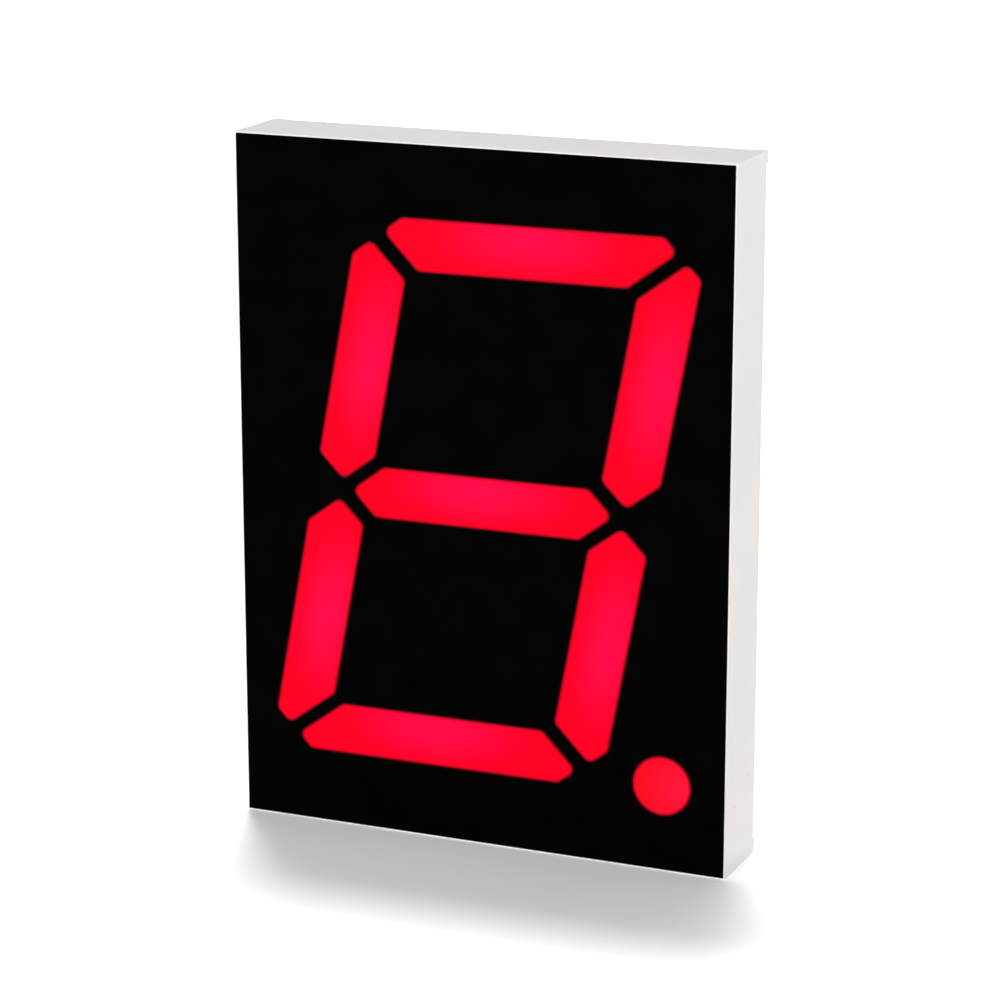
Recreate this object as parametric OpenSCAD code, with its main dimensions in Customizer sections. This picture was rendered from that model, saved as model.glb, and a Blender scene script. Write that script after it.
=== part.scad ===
// Single digit seven segment display of the 100 mm class.
//
// A white moulded housing holds one tapered light well for each segment. A black
// mask covers its face, a cast diffuser closes each well, and a circuit board in the
// rear recess carries the lamps and the pins. The board is held by heat stakes.
//
// X runs across the face, Y from the face towards the pins and Z upwards. The origin
// is the middle of the housing's bottom face, on which the display stands.

/* [Housing] */
// Width of the housing
body_w = 90; // [86:1:110]
// Height of the housing
body_h = 122; // [118:1:150]
// Depth from the front of the mask to the rear rim
body_d = 15; // [12.5:0.5:20]
// Thickness of the side walls in front of the circuit board
wall_t = 2; // [1.6:0.1:2.6]
// Thickness of the rim that surrounds the circuit board
rim_t = 1.2; // [0.8:0.1:1.4]
// Thickness of the front plate behind the mask
plate_t = 1.4; // [1:0.1:2]
// Thickness of the stiffening ribs
rib_t = 1.2; // [0.8:0.1:2]
// Length of each leg of the L shaped corner feet
foot_l = 2.2; // [1.5:0.1:4]
// Height of the corner feet behind the rear rim
foot_h = 0.6; // [0.3:0.1:1.2]

/* [Digit] */
// Width of the digit, measured along its middle bar
digit_w = 62.4; // [52:0.2:63]
// Height of the digit
digit_h = 96; // [80:0.5:97]
// Distance of the digit's centre to the right of the housing's centre
digit_x = 0.3; // [-1:0.1:1]
// Height of the digit's centre above the housing's centre
digit_rise = 0.3; // [-1:0.1:1]
// Slant of the digit in degrees
slant = 10.7; // [0:0.1:11]
// Width of the upright strokes
stroke_w = 10.5; // [8:0.1:12]
// Height of the level strokes
stroke_h = 9; // [7.5:0.1:10.8]
// Gap between neighbouring segments
segment_gap = 2.5; // [1.8:0.1:3]
// Length along X of the bevels on the digit's four outer corners
bevel_w = 7.8; // [6.5:0.1:8.5]
// Radius of the segments' corners
corner_r = 1.4; // [0.5:0.1:1.5]
// Diameter of the decimal point
point_d = 10.4; // [8.7:0.1:11]
// Distance of the decimal point's centre to the right of the digit's lower corner
point_dx = 11.1; // [10.5:0.1:12]
// Height of the decimal point's centre above the foot of the digit
point_dz = 2; // [0:0.1:4]

/* [Optics] */
// Amount by which a light well narrows on each side from the mask to the board
well_taper = 1.5; // [0.6:0.1:1.6]
// Thickness of the walls round the light wells
well_wall = 1.2; // [0.9:0.1:1.5]
// Thickness of the floor of a segment's light well
floor_t = 0.8; // [0.6:0.1:1.2]
// Width of the floor on each side of its lamp window
floor_step = 0.4; // [0.3:0.1:0.6]
// Depth of the cast diffusers
diffuser_d = 5; // [3:0.5:6]
// Thickness of the black mask
mask_t = 0.2; // [0.1:0.05:0.5]
// Width of the white edge left bare round the mask
mask_margin = 0.3; // [0.1:0.05:1]

/* [Circuit board] */
// Thickness of the circuit board
board_t = 1.6; // [1:0.1:2]
// Depth of the board's rear face below the rear rim
board_inset = 1.3; // [1.1:0.1:2]
// Diameter of the heat stakes
stake_d = 2.2; // [1.6:0.1:2.4]
// Height of the formed heads of the stakes
stake_head_h = 0.9; // [0.6:0.05:1]

/* [Pins] */
// Number of pins in each of the two rows
pins_per_row = 5; // [3:1:7]
// Distance between neighbouring pins
pin_pitch = 2.54; // [2:0.01:3]
// Distance between the two rows of pins
row_spacing = 106.68; // [104:0.02:108]
// Diameter of a pin
pin_d = 0.6; // [0.5:0.05:0.8]
// Length of pin behind the rear rim
pin_out = 6.5; // [3:0.5:12]

/* [Lamps] */
// Number of lamps behind each segment
lamps_per_segment = 4; // [2:1:4]
// Share of a segment's inner edge over which its lamps are spread
lamp_spread = 0.9; // [0.8:0.01:1]
// Length of a lamp package
lamp_l = 3.5; // [2.5:0.1:3.8]
// Width of a lamp package
lamp_w = 2.8; // [2:0.1:3]
// Height of a lamp package
lamp_h = 1.9; // [1:0.1:2]

/* [Hidden] */
// Clearance between pieces that are cast, pressed or dropped into each other
fit = 0.04;
// Clearance between the board's edge and the rim
board_fit = 0.2;
// Extra depth of a cut that has to pass through a face
cut = 1;
// Facets of round parts, and steps in each rounded corner of a segment
$fn = 48;
corner_steps = 6;

face_y = -body_d / 2;
plate_y = face_y + mask_t;
rim_y = body_d / 2;
board_back = rim_y - board_inset;
board_front = board_back - board_t;
board_w = body_w - 2 * (rim_t + board_fit);
board_h = body_h - 2 * (rim_t + board_fit);

digit_z = body_h / 2 + digit_rise;
half_w = digit_w / 2;
half_h = digit_h / 2;
bevel_h = bevel_w * stroke_h / stroke_w;
point_x = digit_x + half_w - half_h * tan(slant) + point_dx;
point_z = digit_z - half_h + point_dz;

boss_r = stake_d / 2 + 1.5;
stake_hole_r = stake_d / 2 + 0.15;
stake_head_r = stake_d / 2 + 0.9;
corner_boss_inset = wall_t + boss_r - 0.2;
loop_rise = digit_h / 4;
stake_places = concat(
    [for (sx = [-1, 1], z = [corner_boss_inset, body_h - corner_boss_inset])
        [sx * (body_w / 2 - corner_boss_inset), z]],
    [for (sz = [-1, 1]) slanted([0, sz * loop_rise])]
);

pin_hole_r = pin_d / 2 + 0.2;
pin_count = 2 * pins_per_row;
pin_reach = 0.9;
shank_w = pin_d * 0.85;
solder_r = pin_d / 2 + 0.65;
solder_h = 0.8;

segment_names = ["a", "b", "c", "d", "e", "f", "g"];

// ---- Outlines ----
// Every outline is a closed run of straight sides, each written as [nx, nz, c] for
// the line nx * x + nz * z = c, with a unit normal that points out of the outline.
// They are drawn for an upright digit centred on the origin, and then slanted.

function unit(v) = v / norm(v);
function side_through(n, p, back = 0) = let (u = unit(n)) [u[0], u[1], u * p - back];

// The sides that make up the digit
top_side = [0, 1, half_h];
left_side = [-1, 0, half_w];
inner_top_side = [0, -1, stroke_h - half_h];
inner_left_side = [1, 0, stroke_w - half_w];
function bevel_side(sx) = side_through([sx * bevel_h, bevel_w], [sx * (half_w - bevel_w), half_h]);

// The mitre from a digit's outer corner to its inner corner: it closes the level
// stroke, and with its normal turned round it closes the upright stroke
function mitre_side(sx, turn = 1) =
    side_through(turn * [sx * stroke_h, -stroke_w], [sx * half_w, half_h], segment_gap / 2);

// A side of the arrow ends that meet in the middle of the left or right stroke
function arrow_side(sx, nx, nz) =
    side_through([nx * stroke_h, nz * stroke_w], [sx * (half_w - stroke_w / 2), 0], segment_gap / 2);

top_bar = [top_side, bevel_side(-1), mitre_side(-1), inner_top_side, mitre_side(1), bevel_side(1)];
upper_left_bar = [left_side, arrow_side(-1, -1, -1), arrow_side(-1, 1, -1), inner_left_side,
    mitre_side(-1, -1), bevel_side(-1)];
middle_bar = [[0, 1, stroke_h / 2], arrow_side(-1, -1, 1), arrow_side(-1, -1, -1),
    [0, -1, stroke_h / 2], arrow_side(1, 1, -1), arrow_side(1, 1, 1)];
digit_rim = [top_side, bevel_side(-1), left_side, flipped(bevel_side(-1), 1, -1),
    flipped(top_side, 1, -1), flipped(bevel_side(1), 1, -1), flipped(left_side, -1, 1), bevel_side(1)];
upper_loop = [[0, 1, half_h - stroke_h], [-1, 0, half_w - stroke_w],
    [0, -1, -stroke_h / 2], [1, 0, half_w - stroke_w]];
// The solid corner between the two left strokes, where their arrow ends meet
left_node = [opposite(arrow_side(-1, -1, -1)), [-1, 0, half_w + well_wall - well_taper],
    opposite(arrow_side(-1, -1, 1))];

function reversed(v) = [for (i = [len(v) - 1 : -1 : 0]) v[i]];
function opposite(side) = [-side[0], -side[1], -side[2]];
function flipped(side, sx, sz) = [sx * side[0], sz * side[1], side[2]];
function mirrored(sides, sx, sz) =
    let (m = [for (s = sides) flipped(s, sx, sz)]) sx * sz < 0 ? reversed(m) : m;

function segment_sides(name) =
    name == "a" ? top_bar :
    name == "b" ? mirrored(upper_left_bar, -1, 1) :
    name == "c" ? mirrored(upper_left_bar, -1, -1) :
    name == "d" ? mirrored(top_bar, 1, -1) :
    name == "e" ? mirrored(upper_left_bar, 1, -1) :
    name == "f" ? upper_left_bar : middle_bar;

// Corner where two sides meet, each moved in by the same amount
function corner(s, t, inset) =
    let (det = s[0] * t[1] - s[1] * t[0], c = s[2] - inset, d = t[2] - inset)
    [(c * t[1] - s[1] * d) / det, (s[0] * d - c * t[0]) / det];

// Place on the face of a point of the upright digit
function slanted(p) = [digit_x + p[0] + p[1] * tan(slant), digit_z + p[1]];

function corners(sides, inset) =
    [for (i = [0 : len(sides) - 1]) slanted(corner(sides[i], sides[(i + 1) % len(sides)], inset))];

// Arc of radius r that rounds the corner q between its neighbours p and s
function corner_arc(p, q, s, r) =
    let (
        a = unit(p - q),
        b = unit(s - q),
        half = acos(a * b) / 2,
        centre = q + unit(a + b) * r / sin(half),
        start = q + a * r / tan(half) - centre,
        turn = 180 - 2 * half
    )
    [for (i = [0 : corner_steps]) let (t = turn * i / corner_steps)
        centre + [start[0] * cos(t) - start[1] * sin(t), start[0] * sin(t) + start[1] * cos(t)]];

function outline(sides, inset = 0, r = corner_r) =
    let (pts = corners(sides, inset), n = len(pts))
    [for (i = [0 : n - 1]) each corner_arc(pts[(i + n - 1) % n], pts[i], pts[(i + 1) % n], r)];

// Share of the way from the mask to the board, and the inset of a light well there
function share_at(y) = (y - face_y) / (board_front - face_y);
function inset_at(y) = well_taper * share_at(y);

// Straight sided solid between the outline near at y0 and the outline far at y1
module loft(near, far, y0, y1) {
    n = len(near);
    points = concat([for (p = near) [p[0], y0, p[1]]], [for (p = far) [p[0], y1, p[1]]]);
    polyhedron(points, concat(
        [[for (i = [n - 1 : -1 : 0]) i], [for (i = [n : 2 * n - 1]) i]],
        [for (i = [0 : n - 1]) let (j = (i + 1) % n) [i, j, n + j, n + i]]
    ));
}

// Solid that tapers with the light wells, its sides moved in by a fixed amount too;
// sense is -1 for a hollow between the wells, which widens where they narrow.  The
// corner radius tightens to half of r on the way to the board, or opens where they widen
module tapered(sides, y0, y1, inset = 0, sense = 1, r = corner_r) {
    function section(y) = outline(sides, inset + sense * inset_at(y), r * (1 - sense * share_at(y) / 2));
    loft(section(y0), section(y1), y0, y1);
}

// Plate of the given outline between y0 and y1
module plate(y0, y1) {
    translate([0, y1, 0]) rotate([90, 0, 0]) linear_extrude(y1 - y0) children();
}

// Round bar along Y at the place p on the face, with its own radius at each end
module bar_y(p, y0, y1, r0, r1) {
    translate([p[0], y0, p[1]]) rotate([-90, 0, 0]) cylinder(h = y1 - y0, r1 = r0, r2 = r1);
}

module block(w, h, y0, y1, z0 = 0) {
    translate([-w / 2, y0, z0]) cube([w, y1 - y0, h]);
}

// Space of the decimal point's well, its sides moved in by a fixed amount too
module point_well(y0, y1, inset = 0) {
    bar_y([point_x, point_z], y0, y1, point_d / 2 - inset - inset_at(y0), point_d / 2 - inset - inset_at(y1));
}

// ---- Housing ----

// What stays solid between the front plate and the board: ribs and stake bosses
module ribs_and_bosses() {
    y0 = plate_y;
    y1 = board_front + cut;
    for (sz = [-1, 0, 1]) block(body_w, rib_t, y0, y1, digit_z + sz * loop_rise - rib_t / 2);
    for (p = stake_places) bar_y(p, y0, y1, boss_r, boss_r);
}

// Hollow between the side walls and the digit, ribbed above and below the digit
module outer_hollow() {
    y0 = plate_y + plate_t;
    y1 = board_front + cut;
    rib_x = body_w / 4;
    difference() {
        block(body_w - 2 * wall_t, body_h - 2 * wall_t, y0, y1, wall_t);
        tapered(digit_rim, y0 - cut, y1 + cut, -well_wall, r = 2 * corner_r);
        point_well(y0 - cut, y1 + cut, -well_wall);
        for (sx = [-1, 1]) translate([sx * rib_x, 0, 0]) block(rib_t, body_h, y0 - cut, y1 + cut);
    }
}

// Hollows inside the two loops of the digit
module loop_hollows() {
    for (sz = [-1, 1])
        tapered(mirrored(upper_loop, 1, sz), plate_y + plate_t, board_front + cut, well_wall, -1, 2 * corner_r);
}

// Small hollows between the arrow ends at the middle of the left and right strokes
module node_hollows() {
    for (sx = [-1, 1])
        plate(plate_y + plate_t, board_front + cut) polygon(corners(mirrored(left_node, -sx, 1), well_wall));
}

module corner_foot() {
    translate([-body_w / 2, rim_y - cut, 0]) {
        cube([foot_l, foot_h + cut, rim_t]);
        cube([rim_t, foot_h + cut, foot_l]);
    }
}

module corner_feet() {
    for (sx = [0, 1], sz = [0, 1])
        mirror([sx, 0, 0]) translate([0, 0, sz * body_h]) mirror([0, 0, sz]) corner_foot();
}

// Stake that stands on its boss, passes through the board and is formed over it
module heat_stake(p) {
    bar_y(p, board_front - cut, board_back, stake_d / 2, stake_d / 2);
    bar_y(p, board_back, board_back + stake_head_h / 2, stake_head_r, stake_head_r);
    bar_y(p, board_back + stake_head_h / 2, board_back + stake_head_h, stake_head_r, stake_head_r * 0.6);
}

// Well of one segment: a tapered space, and a lamp window through its floor
module light_well(sides) {
    tapered(sides, face_y, board_front - floor_t);
    plate(board_front - floor_t - cut, board_front + cut) polygon(corners(sides, well_taper + floor_step));
}

module housing() {
    color("white") {
        difference() {
            union() {
                block(body_w, body_h, plate_y, rim_y);
                corner_feet();
            }
            block(body_w - 2 * rim_t, body_h - 2 * rim_t, board_front, rim_y + cut, rim_t);
            difference() {
                union() {
                    outer_hollow();
                    loop_hollows();
                    node_hollows();
                }
                ribs_and_bosses();
            }
            for (s = segment_names) light_well(segment_sides(s));
            point_well(face_y, board_front + cut);
        }
        for (p = stake_places) heat_stake(p);
    }
}

// ---- Face ----

module face_mask() {
    color("black") plate(face_y, plate_y) difference() {
        translate([mask_margin - body_w / 2, mask_margin])
            square([body_w - 2 * mask_margin, body_h - 2 * mask_margin]);
        for (s = segment_names) polygon(outline(segment_sides(s)));
        translate([point_x, point_z]) circle(d = point_d);
    }
}

module segment(name) {
    color("red") tapered(segment_sides(name), face_y, face_y + diffuser_d, fit);
}

module decimal_point() {
    color("red") point_well(face_y, face_y + diffuser_d, fit);
}

// ---- Circuit board, pins and lamps ----

function pin_place(i) =
    let (row = floor((i - 1) / pins_per_row), column = (i - 1) % pins_per_row)
    [(column - (pins_per_row - 1) / 2) * pin_pitch, body_h / 2 + (row - 0.5) * row_spacing];

module circuit_board() {
    color("green") difference() {
        block(board_w, board_h, board_front, board_back, rim_t + board_fit);
        for (p = stake_places) bar_y(p, board_front - cut, board_back + cut, stake_hole_r, stake_hole_r);
        for (i = [1 : pin_count])
            bar_y(pin_place(i), board_front - cut, board_back + cut, pin_hole_r, pin_hole_r);
    }
}

// Pin: a square shank, pressed from the round wire, that grips the board, and a
// round free end with a chamfered tip
module pin(i) {
    place = pin_place(i);
    shank_start = board_front - pin_reach;
    shank_end = board_back + solder_h + fit;
    tip_y = rim_y + pin_out;
    tip_h = pin_d / 2;
    color("silver") {
        translate([place[0] - shank_w / 2, shank_start, place[1] - shank_w / 2])
            cube([shank_w, shank_end - shank_start, shank_w]);
        bar_y(place, shank_end, tip_y - tip_h, pin_d / 2, pin_d / 2);
        bar_y(place, tip_y - tip_h, tip_y, pin_d / 2, pin_d / 4);
    }
}

// Solder round a pin's shank: a fillet on each side of the board and a sleeve in the hole
module solder_joint() {
    sleeve_r = pin_hole_r - fit;
    hole_w = shank_w + 2 * fit;
    profile = [[0, -solder_h], [sleeve_r, -solder_h], [solder_r, 0], [sleeve_r, 0],
        [sleeve_r, board_t], [solder_r, board_t], [sleeve_r, board_t + solder_h],
        [0, board_t + solder_h]];
    difference() {
        rotate([-90, 0, 0]) rotate_extrude() polygon(profile);
        block(hole_w, hole_w, -solder_h - cut, board_t + solder_h + cut, -hole_w / 2);
    }
}

module solder_joints() {
    color("silver") for (i = [1 : pin_count])
        translate([pin_place(i)[0], board_front, pin_place(i)[1]]) solder_joint();
}

// Lamp package on the board's front, lit face forward and length along X: a body
// with a conical cup, the die in the cup and a soldering lead round each end
module lamp() {
    lead_t = 0.15;
    lead_w = lamp_w * 0.8;
    cup_r = lamp_w * 0.4;
    cup_d = lamp_h / 2;
    die = 0.6;
    difference() {
        translate([lead_t - lamp_l / 2, -lamp_h, -lamp_w / 2])
            cube([lamp_l - 2 * lead_t, lamp_h - lead_t, lamp_w]);
        bar_y([0, 0], -lamp_h - cut, -lamp_h, cup_r, cup_r);
        bar_y([0, 0], -lamp_h - fit, cup_d - lamp_h, cup_r, cup_r * 0.75);
    }
    translate([-die / 2, cup_d - lamp_h - die / 2, -die / 2]) cube([die, die, die]);
    for (sx = [0, 1]) mirror([sx, 0, 0]) translate([-lamp_l / 2, -lamp_h / 2, -lead_w / 2]) {
        cube([2 * lead_t, lamp_h / 2, lead_w]);
        translate([0, lamp_h / 2 - lead_t, 0]) cube([lamp_l / 4, lead_t, lead_w]);
    }
}

// Middle of a segment on the upright digit, and the angle at which its lamps lie
function segment_middle(name) =
    name == "a" ? [0, half_h - stroke_h / 2] :
    name == "d" ? [0, stroke_h / 2 - half_h] :
    name == "g" ? [0, 0] :
    [(name == "b" || name == "c" ? 1 : -1) * (half_w - stroke_w / 2),
        (name == "b" || name == "f" ? 1 : -1) * (half_h - bevel_h / 4) / 2];
function is_level(name) = name == "a" || name == "d" || name == "g";

// Distance between the lamps of a segment, from the length of its inner edge
function lamp_pitch(name) =
    (is_level(name) ? digit_w - 2 * stroke_w : half_h - 1.5 * stroke_h) * lamp_spread / lamps_per_segment;

module segment_lamp(name, i) {
    along = (i - (lamps_per_segment + 1) / 2) * lamp_pitch(name);
    step = is_level(name) ? [along, 0] : [0, along * cos(slant)];
    place = slanted(segment_middle(name) + step);
    color("ivory") translate([place[0], board_front, place[1]])
        rotate([0, is_level(name) ? 0 : slant - 90, 0]) lamp();
}

module point_lamp(i) {
    spread = lamp_w / 2 + 0.2;
    color("ivory") translate([point_x + (2 * i - 3) * spread, board_front, point_z]) rotate([0, -90, 0]) lamp();
}

housing();
face_mask();
for (s = segment_names) segment(s);
decimal_point();
circuit_board();
solder_joints();
for (i = [1 : pin_count]) pin(i);
for (s = segment_names, i = [1 : lamps_per_segment])
    segment_lamp(s, i);
for (i = [1 : 2]) point_lamp(i);
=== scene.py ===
# Visual model of a single digit seven segment display, lit, standing on its bottom edge.
# It follows the display as it is put together: shell, mask, diffusers, board with its
# tracks and legend, pins, solder and lamps, then the studio round it.  Lengths are in
# metres in the CAD frame: X across the face, Y from the face towards the pins, Z up.
import math
import bmesh
import bpy
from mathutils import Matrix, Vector


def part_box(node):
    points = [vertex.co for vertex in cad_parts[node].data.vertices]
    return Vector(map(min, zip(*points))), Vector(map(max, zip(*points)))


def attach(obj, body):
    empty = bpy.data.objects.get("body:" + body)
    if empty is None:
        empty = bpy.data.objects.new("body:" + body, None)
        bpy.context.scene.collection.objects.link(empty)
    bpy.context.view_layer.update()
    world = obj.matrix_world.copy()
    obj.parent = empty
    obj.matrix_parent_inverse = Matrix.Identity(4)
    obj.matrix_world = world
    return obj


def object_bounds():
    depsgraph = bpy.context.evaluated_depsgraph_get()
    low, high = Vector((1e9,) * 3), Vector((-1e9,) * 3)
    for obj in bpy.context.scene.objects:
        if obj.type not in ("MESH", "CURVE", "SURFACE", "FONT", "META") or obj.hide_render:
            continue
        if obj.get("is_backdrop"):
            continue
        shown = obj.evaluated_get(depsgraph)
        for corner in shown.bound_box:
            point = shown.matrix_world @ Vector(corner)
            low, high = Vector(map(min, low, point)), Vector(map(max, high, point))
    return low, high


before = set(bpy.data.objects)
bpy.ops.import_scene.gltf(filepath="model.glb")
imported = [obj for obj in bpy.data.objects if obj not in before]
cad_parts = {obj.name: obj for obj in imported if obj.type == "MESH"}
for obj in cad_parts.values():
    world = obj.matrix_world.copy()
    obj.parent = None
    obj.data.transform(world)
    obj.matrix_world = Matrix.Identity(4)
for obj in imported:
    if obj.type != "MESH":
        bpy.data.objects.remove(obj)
cad_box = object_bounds()


# ---- Shell ----
# The reflector shell, one injection moulding in white-filled polycarbonate.  Its
# outside keeps the fine spark-eroded texture of the mould, and its edges are
# broken by the radius that a moulding always has.

MM = 0.001


def linear(hex_colour):
    """An sRGB hex colour as linear red, green, blue and alpha."""
    channels = [int(hex_colour[i:i + 2], 16) / 255 for i in (1, 3, 5)]
    return [c / 12.92 if c <= 0.04045 else ((c + 0.055) / 1.055) ** 2.4 for c in channels] + [1]


def add(tree, kind, settings, sockets):
    """Adds a node, sets and links it, and returns the first output that it offers."""
    node = tree.nodes.new(kind if "Node" in kind else "ShaderNode" + kind)
    for name, value in settings.items():
        setattr(node, name, value)
    for key, value in sockets.items():
        if isinstance(value, bpy.types.NodeSocket):
            tree.links.new(value, node.inputs[key])
        else:
            node.inputs[key].default_value = value
    return next((s for s in node.outputs if s.enabled), None)


def new_finish(name):
    """An empty material, and its node tree."""
    material = bpy.data.materials.new(name)
    material.use_nodes = True
    material.node_tree.nodes.clear()
    return material, material.node_tree


def dress(material, *nodes):
    """Gives CAD nodes their finish."""
    for name in nodes:
        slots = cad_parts[name].data.materials
        slots.clear()
        slots.append(material)


def spark_textured_polycarbonate():
    """White-filled polycarbonate, matte from the mould's spark texture: it scatters
    most light, shows only a soft sheen, and drifts between a cool and a warm white."""
    material, tree = new_finish("spark_textured_polycarbonate")
    place = add(tree, "TexCoord", {}, {}).node.outputs["Object"]
    # The filler clouds over some 24 mm; the spark grain is really 0.1 mm and is drawn
    # at 0.4 mm, as coarse as it needs to show.
    cloud = add(tree, "TexNoise", {}, {"Vector": place, "Scale": 1 / (24 * MM), "Detail": 3})
    grain = add(tree, "TexNoise", {}, {"Vector": place, "Scale": 1 / (0.4 * MM), "Detail": 2})
    tint = add(tree, "MapRange", {}, {"Value": cloud, "From Min": 0.35, "From Max": 0.65})
    white = add(tree, "Mix", {"data_type": "RGBA"},
                {0: tint, 6: linear("#e5e5e3"), 7: linear("#ece6e4")})
    # A fleck of dust, up to 0.6 mm wide, moulded in every 2 cm or so
    speck = add(tree, "TexVoronoi", {}, {"Vector": place, "Scale": 1 / (6 * MM)})
    fleck = add(tree, "MapRange", {"interpolation_type": "SMOOTHSTEP"},
                {"Value": speck, "From Min": 0.02, "From Max": 0.055, "To Min": 0.7, "To Max": 0})
    colour = add(tree, "Mix", {"data_type": "RGBA"}, {0: fleck, 6: white, 7: linear("#8e8b86")})
    rough = add(tree, "MapRange", {}, {"Value": grain, "To Min": 0.42, "To Max": 0.6})
    relief = add(tree, "Bump", {}, {"Height": grain, "Strength": 0.25, "Distance": 0.02 * MM})
    shader = add(tree, "BsdfPrincipled", {},
                 {"Base Color": colour, "Roughness": rough, "IOR": 1.58, "Normal": relief})
    add(tree, "OutputMaterial", {}, {"Surface": shader})
    return material


def share_from_middle(tree, place, centre, reach):
    """How far out a place is from a box's centre: 1 where it gets to the box's sides."""
    from_middle = add(tree, "VectorMath", {"operation": "SUBTRACT"}, {0: place, 1: centre})
    share = add(tree, "VectorMath", {"operation": "DIVIDE"}, {0: from_middle, 1: reach})
    size = add(tree, "VectorMath", {"operation": "ABSOLUTE"}, {0: share})
    sides = add(tree, "SeparateXYZ", {}, {0: size}).node.outputs
    across = add(tree, "Math", {"operation": "MAXIMUM"}, {0: sides["X"], 1: sides["Z"]})
    return add(tree, "Math", {"operation": "MAXIMUM"}, {0: across, 1: sides["Y"]})


dress(spark_textured_polycarbonate(), "housing")
# The moulding's outer edges are broken by 0.1 mm.  The node group marks the sharp edges
# that lie on the sides, the top, the bottom, the rear rim or the feet; the wells behind
# the mask aren't marked.
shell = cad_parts["housing"]
shell_low, shell_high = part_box("housing")
edge_radius = 0.1 * MM
edge_steps = 3
sharp_fold = math.radians(60)
welded_within = 0.02 * MM
foot_h = 0.6 * MM
rim_y = shell_high.y - foot_h
shell_middle = Vector((0, 0, (shell_low.z + shell_high.z) / 2))
# A hair less than the shell, so that what lies on its sides counts as outside
hair_less = 0.9999
reach = Vector((shell_high.x, rim_y, shell_high.z - shell_middle.z)) * hair_less
marker = bpy.data.node_groups.new("outer_edges", "GeometryNodeTree")
for way in ("INPUT", "OUTPUT"):
    marker.interface.new_socket("Geometry", in_out=way, socket_type="NodeSocketGeometry")
unmarked = add(marker, "NodeGroupInput", {}, {})
spot = add(marker, "GeometryNodeInputPosition", {}, {})
outward = share_from_middle(marker, spot, shell_middle, reach)
outside = add(marker, "Math", {"operation": "GREATER_THAN"}, {0: outward, 1: 1})
fold = add(marker, "GeometryNodeInputMeshEdgeAngle", {}, {})
sharp = add(marker, "Math", {"operation": "GREATER_THAN"}, {0: fold, 1: sharp_fold})
chosen = add(marker, "Math", {"operation": "MULTIPLY"}, {0: outside, 1: sharp})
marked = add(marker, "GeometryNodeStoreNamedAttribute", {"data_type": "FLOAT", "domain": "EDGE"},
             {"Geometry": unmarked, "Name": "bevel_weight_edge", "Value": chosen})
add(marker, "NodeGroupOutput", {}, {0: marked})
shell.modifiers.new("joined_faces", "WELD").merge_threshold = welded_within
shell.modifiers.new("outer_edges", "NODES").node_group = marker
broken_edges = shell.modifiers.new("broken_edges", "BEVEL")
broken_edges.width = edge_radius
broken_edges.segments = edge_steps
broken_edges.limit_method = "WEIGHT"
broken_edges.harden_normals = True


# ---- Mask ----
# The black layer on the face: two passes of matte screen ink over the moulding, left
# off the diffusers and off a narrow edge all round.

def near_edges(tree, radius):
    """1 on a piece's sharp edges, falling smoothly to 0 within the radius."""
    rounded = add(tree, "Bevel", {"samples": 8}, {"Radius": radius})
    square = add(tree, "NewGeometry", {}, {}).node.outputs["True Normal"]
    turned = add(tree, "VectorMath", {"operation": "DOT_PRODUCT"}, {0: rounded, 1: square})
    return add(tree, "MapRange", {"interpolation_type": "SMOOTHSTEP"},
               {"Value": turned.node.outputs["Value"], "From Min": 0.7, "From Max": 0.99,
                "To Min": 1, "To Max": 0})


def matte_screen_ink():
    """Matte black screen ink: it swallows nearly all light, and its dried grain keeps
    any reflection broad and faint.  It thins out at the lit openings, and there the
    bars' red light is painted onto it as a glow."""
    material, tree = new_finish("matte_screen_ink")
    place = add(tree, "TexCoord", {}, {}).node.outputs["Object"]
    # The ink's grain is about 0.05 mm and is drawn at 0.5 mm; passes overlap in 6 mm drifts
    grain = add(tree, "TexNoise", {}, {"Vector": place, "Scale": 1 / (0.5 * MM), "Detail": 3})
    drift = add(tree, "TexNoise", {}, {"Vector": place, "Scale": 1 / (6 * MM), "Detail": 2})
    colour = add(tree, "Mix", {"data_type": "RGBA"},
                 {0: drift, 6: linear("#010101"), 7: linear("#050506")})
    rough = add(tree, "MapRange", {}, {"Value": grain, "To Min": 0.6, "To Max": 0.8})
    relief = add(tree, "Bump", {}, {"Height": grain, "Strength": 0.15, "Distance": 0.01 * MM})
    # Painted glow: the bars' red light is painted onto the last 0.4 mm or so of the ink at
    # each opening, where the ink is thin.  The openings all lie further in than the outer
    # band, where the ink stays dark right up to its edge.
    # The millimetre more in Y keeps the front and back of the ink well inside.
    outer_band = 2 * MM
    painted_glow_radius = 0.6 * MM
    low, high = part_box("face_mask")
    half = (high - low) / 2
    reach = Vector((half.x - outer_band, half.y + MM, half.z - outer_band))
    outward = share_from_middle(tree, place, (low + high) / 2, reach)
    inside = add(tree, "Math", {"operation": "LESS_THAN"}, {0: outward, 1: 1})
    # Share of painted glow: 1 at the edge of each opening, fading out within the radius
    thin = add(tree, "Math", {"operation": "MULTIPLY"}, {0: inside, 1: near_edges(tree, painted_glow_radius)})
    shown = add(tree, "Mix", {"data_type": "RGBA"}, {0: thin, 6: (0, 0, 0, 1), 7: linear("#6a000f")})
    shader = add(tree, "BsdfPrincipled", {},
                 {"Base Color": colour, "Roughness": rough, "Specular IOR Level": 0.003,
                  "Normal": relief, "Emission Color": shown, "Emission Strength": 1})
    add(tree, "OutputMaterial", {}, {"Surface": shader})
    return material


dress(matte_screen_ink(), "face_mask")


# ---- Diffusers ----
# Seven bars and a dot of milky red epoxy, cast into the light wells flush with the
# mask.  Four lamps behind each bar blend in it into one broad glow, strongest at
# mid-length and a little towards the upper or right-hand edge.

def middle(node):
    """Middle of a CAD node's box."""
    low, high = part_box(node)
    return (low + high) / 2


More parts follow.
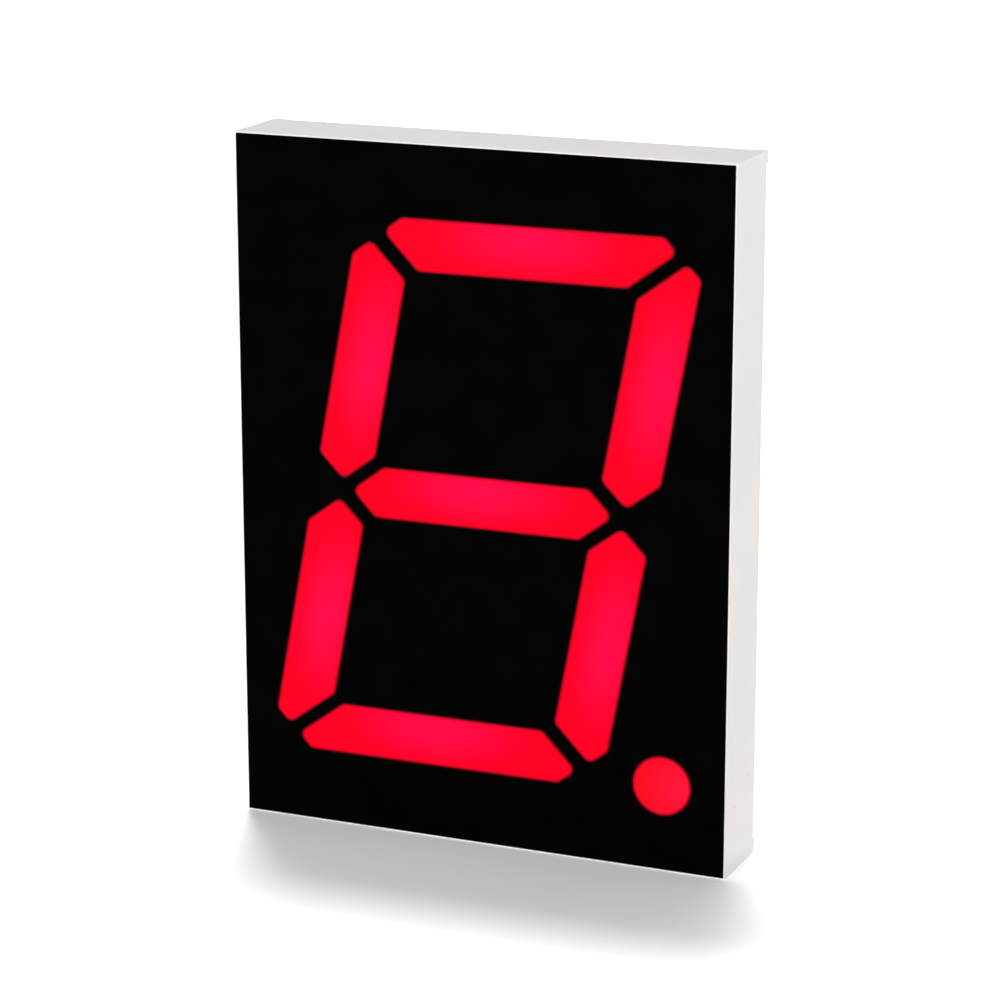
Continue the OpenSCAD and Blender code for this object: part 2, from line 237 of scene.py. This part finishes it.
def lit_milky_epoxy(name, glow_at, lean, tall, wide, dim, bright):
    """Milky red epoxy lit from behind: saturated red that turns pinker where more of
    the lamps' light comes through, with a faint cloudiness and a soft dark edge.  The
    glow leans with the bar, and reaches tall up and down it and wide across."""
    material, tree = new_finish(name)
    place = add(tree, "TexCoord", {}, {}).node.outputs["Object"]
    # Brightness that falls from 1 at the glow's middle to 0 as far out as it reaches
    inside = add(tree, "Mapping", {"vector_type": "TEXTURE"},
                 {"Vector": place, "Location": glow_at, "Rotation": (0, lean, 0),
                  "Scale": (wide, 1, tall)})
    sphere = add(tree, "TexGradient", {"gradient_type": "SPHERICAL"}, {"Vector": inside})
    glow = sphere.node.outputs["Fac"]
    bell = add(tree, "MapRange", {"interpolation_type": "SMOOTHSTEP"}, {"Value": glow})
    # The filler clouds over 3 mm
    cloud = add(tree, "TexNoise", {}, {"Vector": place, "Scale": 1 / (3 * MM), "Detail": 2})
    cloudy = add(tree, "MapRange", {}, {"Value": cloud, "To Min": -0.06, "To Max": 0.06})
    light = add(tree, "Math", {"operation": "ADD", "use_clamp": True}, {0: bell, 1: cloudy})
    lit = add(tree, "Mix", {"data_type": "RGBA"}, {0: light, 6: linear(dim), 7: linear(bright)})
    # The last half millimetre or so beside the wall of the well gets less light
    wall_radius = 1.5 * MM
    colour = add(tree, "Mix", {"data_type": "RGBA"},
                 {0: near_edges(tree, wall_radius), 6: lit, 7: linear("#780212")})
    body = add(tree, "Mix", {"data_type": "RGBA"},
               {0: cloud, 6: linear("#5c0006"), 7: linear("#78000a")})
    rough = add(tree, "MapRange", {}, {"Value": cloud, "To Min": 0.35, "To Max": 0.5})
    relief = add(tree, "Bump", {}, {"Height": cloud, "Strength": 0.1, "Distance": 0.05 * MM})
    shader = add(tree, "BsdfPrincipled", {},
                 {"Base Color": body, "Roughness": rough, "IOR": 1.55,
                  "Specular IOR Level": 0.01, "Normal": relief,
                  "Emission Color": colour, "Emission Strength": 1})
    add(tree, "OutputMaterial", {}, {"Surface": shader})
    return material


# The digit leans along the line from the lower to the upper left bar
up_the_digit = middle("segment_f") - middle("segment_e")
slant = math.atan2(up_the_digit.x, up_the_digit.z)
bar_low, bar_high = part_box("segment_g")
bar_length = bar_high.x - bar_low.x
bar_height = bar_high.z - bar_low.z
post_low, post_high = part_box("segment_f")
post_length = post_high.z - post_low.z

diffusers = ["segment_" + letter for letter in "abcdefg"] + ["decimal_point"]
# Their glow is too weak to colour a lit room
for node in diffusers:
    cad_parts[node].visible_diffuse = False
bar_red = "#ff0020"
bar_pink = "#ff0a48"
# How far a glow lies off the middle of its bar and how far it reaches, as shares of the
# thickness of a level bar or of the length of the bar
level_rise = 0.25
level_tall = 0.9
level_wide = 0.45
for letter in "adg":
    node = "segment_" + letter
    glow_at = middle(node) + Vector((0, 0, bar_height * level_rise))
    dress(lit_milky_epoxy("lit_epoxy_" + letter, glow_at, 0, bar_height * level_tall,
                          bar_length * level_wide, bar_red, bar_pink), node)
upright_shift = 0.2
upright_tall = 0.48
upright_wide = 0.9
for letter in "bcef":
    node = "segment_" + letter
    glow_at = middle(node) + Vector((bar_height * upright_shift, 0, 0))
    dress(lit_milky_epoxy("lit_epoxy_" + letter, glow_at, slant, post_length * upright_tall,
                          bar_height * upright_wide, bar_red, bar_pink), node)
point_low, point_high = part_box("decimal_point")
point_width = point_high.x - point_low.x
point_shift = 0.4
point_glow_at = middle("decimal_point") + Vector((point_width * point_shift, 0, 0))
dress(lit_milky_epoxy("lit_epoxy_point", point_glow_at, 0, point_width, point_width,
                      "#ff0a1c", "#ff1539"), "decimal_point")


def painted_shade_epoxy():
    """The same epoxy where it has crept up the wall of its well, thin and unlit.  Its
    dark colour is painted shade of the narrow gap round the diffuser.
    """
    material, tree = new_finish("painted_shade_epoxy")
    place = add(tree, "TexCoord", {}, {}).node.outputs["Object"]
    # The filler clouds over 2 mm where it is this thin
    cloud = add(tree, "TexNoise", {}, {"Vector": place, "Scale": 1 / (2 * MM), "Detail": 2})
    colour = add(tree, "Mix", {"data_type": "RGBA"},
                 {0: cloud, 6: linear("#2a0004"), 7: linear("#3c0008")})
    rough = add(tree, "MapRange", {}, {"Value": cloud, "To Min": 0.4, "To Max": 0.55})
    relief = add(tree, "Bump", {}, {"Height": cloud, "Strength": 0.1, "Distance": 0.02 * MM})
    shader = add(tree, "BsdfPrincipled", {},
                 {"Base Color": colour, "Roughness": rough, "IOR": 1.55,
                  "Specular IOR Level": 0.1, "Normal": relief})
    add(tree, "OutputMaterial", {}, {"Surface": shader})
    return material


def new_piece(name, shape, material):
    """Turns a finished bmesh into a piece that rides with the display."""
    bmesh.ops.recalc_face_normals(shape, faces=shape.faces)
    mesh = bpy.data.meshes.new(name)
    shape.to_mesh(mesh)
    shape.free()
    mesh.materials.append(material)
    piece = bpy.data.objects.new(name, mesh)
    bpy.context.scene.collection.objects.link(piece)
    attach(piece, "root")
    return piece


def face_loop(node):
    """The outline of a diffuser's front face, in order round its middle."""
    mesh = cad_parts[node].data
    face = min(v.co.y for v in mesh.vertices) + 0.01 * MM
    spots = {(round(v.co.x, 7), round(v.co.z, 7)) for v in mesh.vertices if v.co.y < face}
    centre = middle(node)
    return sorted(spots, key=lambda spot: math.atan2(spot[1] - centre.z, spot[0] - centre.x))


def moved_out(loop, distance):
    """A closed outline moved out by a distance; the loop runs anticlockwise in X and Z."""
    moved = []
    for i, spot in enumerate(loop):
        here = Vector(spot)
        a = (here - Vector(loop[i - 1])).normalized()
        b = (Vector(loop[(i + 1) % len(loop)]) - here).normalized()
        out_a = Vector((a.y, -a.x))
        out_b = Vector((b.y, -b.x))
        moved.append(here + (out_a + out_b) * distance / (1 + out_a.dot(out_b)))
    return moved


def skin(shape, loops):
    """A closed tube over loops of equally many corners, the last joined to the first."""
    rings = [[shape.verts.new(corner) for corner in loop] for loop in loops]
    for ring, onward in zip(rings, rings[1:] + rings[:1]):
        for i in range(len(ring)):
            j = (i + 1) % len(ring)
            shape.faces.new((ring[i], ring[j], onward[j], onward[i]))


def border(shape, outline, inner, outer, low, high):
    """A closed border that follows an outline in X and Z, between two distances out
    from it, and from low to high in Y."""
    skin(shape, [[(spot.x, y, spot.y) for spot in moved_out(outline, distance)]
                 for distance, y in ((inner, low), (outer, low), (outer, high), (inner, high))])


# The diffuser is cast in place, so epoxy fills the 0.04 mm between it and the mask.
# The joint lies a little below the face and reaches a little into both.
joint_w = 0.04 * MM
into_diffuser = 0.02 * MM
into_mask = 0.01 * MM
joint_top = 0.02 * MM
joint_bottom = 0.16 * MM
# The joints' epoxy is darker than the lit diffusers: painted shade of the narrow gap
gap_epoxy_painted_shade = painted_shade_epoxy()
for node in diffusers:
    face_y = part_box(node)[0].y
    shape = bmesh.new()
    border(shape, face_loop(node), -into_diffuser, joint_w + into_mask,
           face_y + joint_top, face_y + joint_bottom)
    new_piece("joint_" + node, shape, gap_epoxy_painted_shade)


# ---- Circuit board ----
# Two-sided glass-epoxy laminate, 1.6 mm thick, under green solder mask.  It drops over
# six stakes of the shell, whose ends are then formed over it by heat.

def green_solder_mask(name, dark, light, edge):
    """Green solder mask on glass cloth: a glossy, slightly cloudy lacquer with the
    weave just showing.  Faces that don't look along Y take the colour of the edge."""
    material, tree = new_finish(name)
    place = add(tree, "TexCoord", {}, {}).node.outputs["Object"]
    # The cloth's threads really lie 0.5 mm apart and are drawn at 0.8 mm.  A wave
    # texture repeats every pi / (10 x scale).
    thread = math.pi / (10 * 0.8 * MM)
    threads = {"Vector": place, "Scale": thread, "Distortion": 0.4}
    warp = add(tree, "TexWave", {"bands_direction": "X"}, threads).node.outputs["Fac"]
    weft = add(tree, "TexWave", {"bands_direction": "Z"}, threads).node.outputs["Fac"]
    weave = add(tree, "Math", {"operation": "MULTIPLY"}, {0: warp, 1: weft})
    # The lacquer pools over some 9 mm
    cloud = add(tree, "TexNoise", {}, {"Vector": place, "Scale": 1 / (9 * MM), "Detail": 3})
    depth = add(tree, "Math", {"operation": "MULTIPLY_ADD"}, {0: weave, 1: 0.35, 2: cloud})
    lacquer = add(tree, "Mix", {"data_type": "RGBA"}, {0: depth, 6: linear(dark), 7: linear(light)})
    normal = add(tree, "NewGeometry", {}, {}).node.outputs["True Normal"]
    facing = add(tree, "SeparateXYZ", {}, {0: normal})
    flat = add(tree, "Math", {"operation": "ABSOLUTE"}, {0: facing.node.outputs["Y"]})
    lacquered = add(tree, "Math", {"operation": "GREATER_THAN"}, {0: flat, 1: 0.5})
    colour = add(tree, "Mix", {"data_type": "RGBA"}, {0: lacquered, 6: linear(edge), 7: lacquer})
    rough = add(tree, "MapRange", {}, {"Value": cloud, "To Min": 0.22, "To Max": 0.38})
    relief = add(tree, "Bump", {}, {"Height": weave, "Strength": 0.12, "Distance": 0.02 * MM})
    shader = add(tree, "BsdfPrincipled", {},
                 {"Base Color": colour, "Roughness": rough, "IOR": 1.5, "Specular IOR Level": 0.2,
                  "Normal": relief})
    add(tree, "OutputMaterial", {}, {"Surface": shader})
    return material


# The sawn edge of the board is bare tan laminate
dress(green_solder_mask("green_solder_mask", "#053f19", "#0a6028", "#b3a06c"), "circuit_board")
board_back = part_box("circuit_board")[1].y


# ---- Tracks ----
# Etched copper on the back of the board, under the solder mask, so that it shows as
# lighter raised lines.  Each goes from a pin to the lamps of one segment; the wide one
# in the middle is common to both rows.  Small dimples are the vias to the front.

copper_under_mask = green_solder_mask("mask_over_copper", "#188238", "#269c4a", "#188238")
track_h = 0.035 * MM
track_w = 0.45 * MM
common_w = 1.3 * MM


def mitred_strip(shape, path, width, low, high):
    """A flat strip with square ends along a run of points in X and Z, from low to high in Y."""
    rows = []
    for i, spot in enumerate(path):
        ahead = (path[i + 1] - spot).normalized() if i + 1 < len(path) else None
        back = (spot - path[i - 1]).normalized() if i else None
        a, b = back or ahead, ahead or back
        side = (Vector((-a.y, a.x)) + Vector((-b.y, b.x))) / (1 + a.dot(b))
        left, right = spot + side * width / 2, spot - side * width / 2
        rows.append([shape.verts.new(corner) for corner in
                     ((left.x, low, left.y), (right.x, low, right.y),
                      (right.x, high, right.y), (left.x, high, left.y))])
    for row, onward in zip(rows, rows[1:]):
        for k in range(4):
            shape.faces.new((row[k], row[(k + 1) % 4], onward[(k + 1) % 4], onward[k]))
    shape.faces.new(rows[0])
    shape.faces.new(rows[-1])


def turned_ring(shape, spot, profile, steps=24):
    """A ring turned about Y at a spot in X and Z, from radii and heights above the board."""
    turns = [2 * math.pi * k / steps for k in range(steps)]
    skin(shape, [[(spot.x + r * math.cos(turn), board_back + h, spot.y + r * math.sin(turn))
                  for turn in turns] for r, h in profile])


def on_board(node):
    """Place of a lamp or pin on the board, in X and Z."""
    return middle(node).xz


def lamps_of(letter):
    """Places of the four lamps of a segment, in X and Z."""
    return [on_board("lamp_%s%d" % (letter, i)) for i in range(1, 5)]


def beside(spot, dx, dz):
    """The place that lies dx and dz millimetres from a spot."""
    return spot + Vector((dx, dz)) * MM


# A level bar's vias sit 2.4 mm from its lamps, on the side of the middle of the digit
via_step = 2.4
vias_a = [beside(spot, 0, -via_step) for spot in lamps_of("a")]
vias_d = [beside(spot, 0, via_step) for spot in lamps_of("d")]
vias_g = [beside(spot, 0, via_step) for spot in lamps_of("g")]
pins = {i: on_board("pin_%d" % i) for i in range(1, 11)}


def angled(start, end):
    """Route from start to end: straight up or down first, then at 45 degrees."""
    bend = Vector((start.x, end.y + math.copysign(abs(end.x - start.x), start.y - end.y)))
    return [start, bend, end]


def along_edge(start, end, step):
    """Route that leaves a pin at 45 degrees, runs level, and turns in at 45 degrees."""
    sideways = math.copysign(1, end.x - start.x)
    first = beside(start, sideways * abs(step), step)
    second = Vector((end.x - sideways * abs(end.y - first.y), first.y))
    return [start, first, second, end] if step else [start, second, end]


# The outermost tracks run level this many millimetres further in than their row of pins
lane_step = 2.94
routes = {
    "a": angled(pins[9], vias_a[1]),
    "b": along_edge(pins[10], lamps_of("b")[3], -lane_step) + lamps_of("b")[2::-1],
    "c": angled(pins[4], lamps_of("c")[0]) + lamps_of("c")[1:],
    "d": angled(pins[2], vias_d[2]),
    "e": along_edge(pins[1], lamps_of("e")[0], lane_step) + lamps_of("e")[1:],
    "f": angled(pins[6], lamps_of("f")[3]) + lamps_of("f")[2::-1],
    "g": angled(pins[7], vias_g[1]),
    "point": along_edge(pins[5], on_board("lamp_point1"), 0) + [on_board("lamp_point2")],
}
for name, route in routes.items():
    shape = bmesh.new()
    mitred_strip(shape, route, track_w, board_back, board_back + track_h)
    new_piece("track_" + name, shape, copper_under_mask)
shape = bmesh.new()
mitred_strip(shape, [pins[8], pins[3]], common_w, board_back, board_back + track_h)
new_piece("track_common", shape, copper_under_mask)

# Via: 1 mm wide under the mask, which dips over its hole
via_profile = [(r * MM, h * MM) for r, h in
               ((0.5, 0), (0.42, 0.045), (0.2, 0.045), (0.12, 0.015), (0.1, 0))]
upright_vias = [spot for letter in "bcef" for spot in lamps_of(letter)]
point_vias = [on_board("lamp_point1"), on_board("lamp_point2")]
shape = bmesh.new()
for spot in vias_a + vias_d + vias_g + upright_vias + point_vias:
    turned_ring(shape, spot, via_profile)
new_piece("vias", shape, copper_under_mask)


# ---- Legend ----
# White epoxy ink screened on the back of the board: a frame round each row of pins,
# and a wedge that points at pin 1.

def white_legend_ink():
    """White legend ink: flat and slightly thin, so that the green greys it in places."""
    material, tree = new_finish("white_legend_ink")
    place = add(tree, "TexCoord", {}, {}).node.outputs["Object"]
    # The screen's threads leave 0.1 mm grains, drawn at 0.3 mm
    grain = add(tree, "TexNoise", {}, {"Vector": place, "Scale": 1 / (0.3 * MM), "Detail": 2})
    colour = add(tree, "Mix", {"data_type": "RGBA"},
                 {0: grain, 6: linear("#c9d2c8"), 7: linear("#e9ece6")})
    rough = add(tree, "MapRange", {}, {"Value": grain, "To Min": 0.5, "To Max": 0.7})
    relief = add(tree, "Bump", {}, {"Height": grain, "Strength": 0.2, "Distance": 0.01 * MM})
    shader = add(tree, "BsdfPrincipled", {},
                 {"Base Color": colour, "Roughness": rough, "IOR": 1.5, "Normal": relief})
    add(tree, "OutputMaterial", {}, {"Surface": shader})
    return material


legend_ink = white_legend_ink()
ink_low = board_back
ink_high = board_back + 0.045 * MM
ink_line = 0.25 * MM
frame_margin = 2 * MM
for name, first, last in (("lower", pins[1], pins[5]), ("upper", pins[6], pins[10])):
    left = first.x - frame_margin
    right = last.x + frame_margin
    below = first.y - frame_margin
    above = first.y + frame_margin
    corners = [(left, below), (right, below), (right, above), (left, above)]
    shape = bmesh.new()
    border(shape, corners, -ink_line / 2, ink_line / 2, ink_low, ink_high)
    new_piece("legend_" + name, shape, legend_ink)
# The wedge's sizes are in millimetres
wedge_from_pin = 2.5
wedge_l = 1.5
wedge_half_h = 0.9
tip = beside(pins[1], -wedge_from_pin, 0)
wedge = [tip, beside(tip, -wedge_l, wedge_half_h), beside(tip, -wedge_l, -wedge_half_h)]
shape = bmesh.new()
for y in (ink_low, ink_high):
    shape.faces.new([shape.verts.new((c.x, y, c.y)) for c in wedge])
shape.verts.ensure_lookup_table()
for k in range(3):
    j = (k + 1) % 3
    shape.faces.new((shape.verts[k], shape.verts[j], shape.verts[3 + j], shape.verts[3 + k]))
new_piece("legend_wedge", shape, legend_ink)


# ---- Pins ----
# Ten pins of drawn brass wire, 0.6 mm thick, tin plated.  They are pressed through
# the board and soldered on both sides.

def tinned_wire():
    """Tin plate on drawn wire: bright grey metal, with fine lines along the wire."""
    material, tree = new_finish("tinned_wire")
    place = add(tree, "TexCoord", {}, {}).node.outputs["Object"]
    # The die's lines are some 0.02 mm apart and are drawn at 0.08 mm, each 4 mm long
    across = 1 / (0.08 * MM)
    drawn = add(tree, "Mapping", {}, {"Vector": place, "Scale": (across, 1 / (4 * MM), across)})
    lines = add(tree, "TexNoise", {}, {"Vector": drawn, "Scale": 1, "Detail": 2})
    # The plating's tone drifts over 2.5 mm
    cloud = add(tree, "TexNoise", {}, {"Vector": place, "Scale": 1 / (2.5 * MM), "Detail": 2})
    colour = add(tree, "Mix", {"data_type": "RGBA"},
                 {0: cloud, 6: linear("#b6b4ad"), 7: linear("#d2d0ca")})
    rough = add(tree, "MapRange", {}, {"Value": lines, "To Min": 0.2, "To Max": 0.42})
    relief = add(tree, "Bump", {}, {"Height": lines, "Strength": 0.2, "Distance": 0.01 * MM})
    shader = add(tree, "BsdfPrincipled", {},
                 {"Base Color": colour, "Metallic": 1, "Roughness": rough, "Normal": relief})
    add(tree, "OutputMaterial", {}, {"Surface": shader})
    return material


dress(tinned_wire(), *["pin_%d" % i for i in range(1, 11)])


# ---- Solder ----
# Tin solder drawn by flow round each pin, and the rim of its copper pad, which the
# solder mask leaves bare and the tin covers thinly.

def bright_solder():
    """Tin-silver-copper solder: bright where it flowed, frosted where it froze last."""
    material, tree = new_finish("bright_solder")
    place = add(tree, "TexCoord", {}, {}).node.outputs["Object"]
    # Crystals are 0.1 to 0.3 mm wide, and the tin flowed in tongues of 1.2 mm
    frost = add(tree, "TexNoise", {}, {"Vector": place, "Scale": 1 / (0.25 * MM), "Detail": 3})
    flow = add(tree, "TexNoise", {}, {"Vector": place, "Scale": 1 / (1.2 * MM), "Detail": 1})
    colour = add(tree, "Mix", {"data_type": "RGBA"},
                 {0: flow, 6: linear("#bdbdb9"), 7: linear("#dededa")})
    rough = add(tree, "MapRange", {}, {"Value": frost, "From Min": 0.3, "From Max": 0.7,
                                       "To Min": 0.14, "To Max": 0.4})
    relief = add(tree, "Bump", {}, {"Height": frost, "Strength": 0.25, "Distance": 0.03 * MM})
    shader = add(tree, "BsdfPrincipled", {},
                 {"Base Color": colour, "Metallic": 1, "Roughness": rough, "Normal": relief})
    add(tree, "OutputMaterial", {}, {"Surface": shader})
    return material


solder_finish = bright_solder()
dress(solder_finish, "solder_joints")
pad_inner_r = 0.7 * MM
pad_foot_r = 1.12 * MM
pad_top_r = 1.08 * MM
pad_h = track_h * 1.4
pad_profile = [(pad_inner_r, 0), (pad_foot_r, 0), (pad_top_r, pad_h), (pad_inner_r, pad_h)]
shape = bmesh.new()
for spot in pins.values():
    turned_ring(shape, spot, pad_profile, steps=32)
new_piece("pads", shape, solder_finish)


# ---- Lamps ----
# Thirty surface mounted lamp packages on the front of the board, inside the wells: a
# moulded body each, soldered down before the board goes into the shell.

def white_lamp_package():
    """Moulded white nylon of the lamp's body, clean and slightly glossy."""
    material, tree = new_finish("white_lamp_package")
    place = add(tree, "TexCoord", {}, {}).node.outputs["Object"]
    # The nylon's tone drifts over 1.5 mm
    cloud = add(tree, "TexNoise", {}, {"Vector": place, "Scale": 1 / (1.5 * MM), "Detail": 2})
    colour = add(tree, "Mix", {"data_type": "RGBA"},
                 {0: cloud, 6: linear("#e2dccb"), 7: linear("#efebdd")})
    rough = add(tree, "MapRange", {}, {"Value": cloud, "To Min": 0.35, "To Max": 0.5})
    relief = add(tree, "Bump", {}, {"Height": cloud, "Strength": 0.1, "Distance": 0.02 * MM})
    shader = add(tree, "BsdfPrincipled", {},
                 {"Base Color": colour, "Roughness": rough, "IOR": 1.53, "Normal": relief})
    add(tree, "OutputMaterial", {}, {"Surface": shader})
    return material


dress(white_lamp_package(), *[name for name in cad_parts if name.startswith("lamp_")])


# ---- Studio ----
# A pale floor under four soft lamps: a high one that throws a short shadow to the
# front, one behind that lights the board, one from the right and one from the front.
# The first two have no reflection, so the pins and the solder don't glare.

def rays_that_see(tree):
    """1 for the rays that show the background: to the camera, in metal or through glass."""
    rays = add(tree, "LightPath", {}, {}).node.outputs
    seen = add(tree, "Math", {"operation": "MAXIMUM"},
               {0: rays["Is Camera Ray"], 1: rays["Is Glossy Ray"]})
    return add(tree, "Math", {"operation": "MAXIMUM"}, {0: seen, 1: rays["Is Transmission Ray"]})


def pale_floor():
    """Matte pale paint.  Where it is seen it is lifted to white, and it keeps the shadow."""
    material, tree = new_finish("pale_floor")
    seen = rays_that_see(tree)
    lifted = (1.75, 1.75, 1.75, 1)
    colour = add(tree, "Mix", {"data_type": "RGBA"}, {0: seen, 6: linear("#f2f2f2"), 7: lifted})
    paint = add(tree, "BsdfDiffuse", {}, {"Color": colour})
    add(tree, "OutputMaterial", {}, {"Surface": paint})
    return material


floor_reach = 4
floor_mesh = bpy.data.meshes.new("floor")
shape = bmesh.new()
bmesh.ops.create_grid(shape, x_segments=2, y_segments=2, size=floor_reach)
shape.to_mesh(floor_mesh)
shape.free()
floor_mesh.materials.append(pale_floor())
studio_floor = bpy.data.objects.new("studio_floor", floor_mesh)
bpy.context.scene.collection.objects.link(studio_floor)
studio_floor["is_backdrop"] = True

world = bpy.data.worlds.new("studio")
bpy.context.scene.world = world
world.use_nodes = True
world.node_tree.nodes.clear()
strength = add(world.node_tree, "MapRange", {},
               {"Value": rays_that_see(world.node_tree), "To Min": 0.18, "To Max": 1})
sky = add(world.node_tree, "Background", {}, {"Color": (1, 1, 1, 1), "Strength": strength})
add(world.node_tree, "OutputWorld", {}, {"Surface": sky})


def soft_lamp(name, towards, level, spread, glare=True):
    """A distant soft lamp in the direction towards; without glare it has no reflection."""
    data = bpy.data.lights.new(name, "SUN")
    data.energy = level * math.pi
    data.angle = math.radians(spread)
    lamp = bpy.data.objects.new(name, data)
    lamp.rotation_mode = "QUATERNION"
    lamp.rotation_quaternion = Vector(towards).to_track_quat("Z", "Y")
    lamp.visible_glossy = glare
    bpy.context.scene.collection.objects.link(lamp)


soft_lamp("high_lamp", (-0.13, 0.28, 0.95), 0.43, 12, glare=False)
soft_lamp("rear_lamp", (0, 1, 0.03), 0.6, 36, glare=False)
soft_lamp("right_lamp", (0.97, -0.2, 0.03), 0.755, 36)
soft_lamp("front_lamp", (-0.25, -0.97, 0.03), 1.15, 36)

look_at = Vector((0.75, 0, 60.1)) * MM
azimuth = math.radians(22.78)
elevation = math.radians(14.97)
# The camera's distance from the place that it looks at, in millimetres
distance = 574.4
towards_camera = Vector((math.sin(azimuth) * math.cos(elevation),
                         -math.cos(azimuth) * math.cos(elevation), math.sin(elevation)))
camera_data = bpy.data.cameras.new("camera")
camera_data.sensor_width = 36
camera_data.lens = 120.8
camera_data.clip_start = 0.01
camera = bpy.data.objects.new("camera", camera_data)
camera.location = look_at + towards_camera * distance * MM
camera.rotation_mode = "QUATERNION"
camera.rotation_quaternion = towards_camera.to_track_quat("Z", "Y")
bpy.context.scene.collection.objects.link(camera)
bpy.context.scene.camera = camera
bpy.context.scene.view_settings.view_transform = "Standard"

corners = {"cad": [list(c) for c in cad_box], "visual": [list(c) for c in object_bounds()]}
